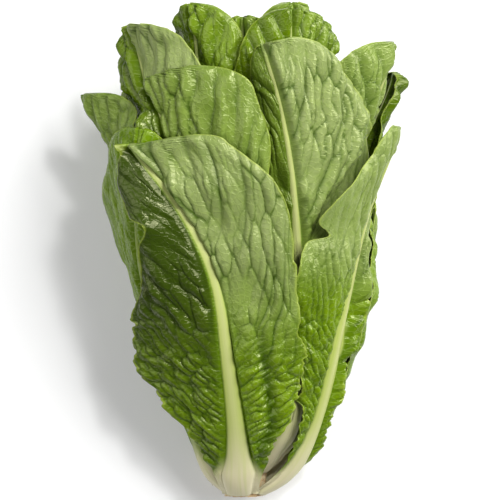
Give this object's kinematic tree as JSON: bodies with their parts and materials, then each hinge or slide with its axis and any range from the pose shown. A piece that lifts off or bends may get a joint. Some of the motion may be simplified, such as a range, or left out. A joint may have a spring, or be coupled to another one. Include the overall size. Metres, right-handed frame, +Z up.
{
  "type": "romaine lettuce head",
  "caption": "Head of romaine lettuce lying on its back: long overlapping ribbed leaves on a short cut stem, pale at the foot and opening at the tips.",
  "frame": {"origin": "centre of the bounding box at the table surface the head lies on", "axes": "+Y along the head from the cut stem to the leaf tips, +Z up from the table, +X across the head"},
  "size_m": [0.1864, 0.2858, 0.0996],
  "materials": {
    "stem": "moist cut vegetable, satin",
    "outer_leaf": "leaf, satin with a waxy sheen",
    "middle_leaf": "leaf, satin with a waxy sheen",
    "inner_leaf": "leaf, satin with a waxy sheen",
    "heart_leaf": "pale young leaf, satin"
  },
  "bodies": {
    "root": {"stem": "stem", "outer_leaf_front": "outer_leaf", "outer_leaf_back_right": "outer_leaf", "outer_leaf_right": "outer_leaf", "outer_leaf_back_left": "outer_leaf", "outer_leaf_left": "outer_leaf", "outer_leaf_right_side": "outer_leaf", "middle_leaf_front_left": "middle_leaf", "middle_leaf_back": "middle_leaf", "middle_leaf_front": "middle_leaf", "middle_leaf_left": "middle_leaf", "middle_leaf_back_right": "middle_leaf", "middle_leaf_right": "middle_leaf", "inner_leaf_front_left": "inner_leaf", "middle_leaf_back_left": "middle_leaf", "inner_leaf_front_right": "inner_leaf", "inner_leaf_left": "inner_leaf", "inner_leaf_back": "inner_leaf", "inner_leaf_top_left": "inner_leaf", "inner_leaf_right": "inner_leaf", "inner_leaf_top": "inner_leaf", "heart_leaf_1": "heart_leaf", "heart_leaf_2": "heart_leaf", "heart_leaf_3": "heart_leaf", "heart_leaf_4": "heart_leaf"}
  },
  "joints": []
}
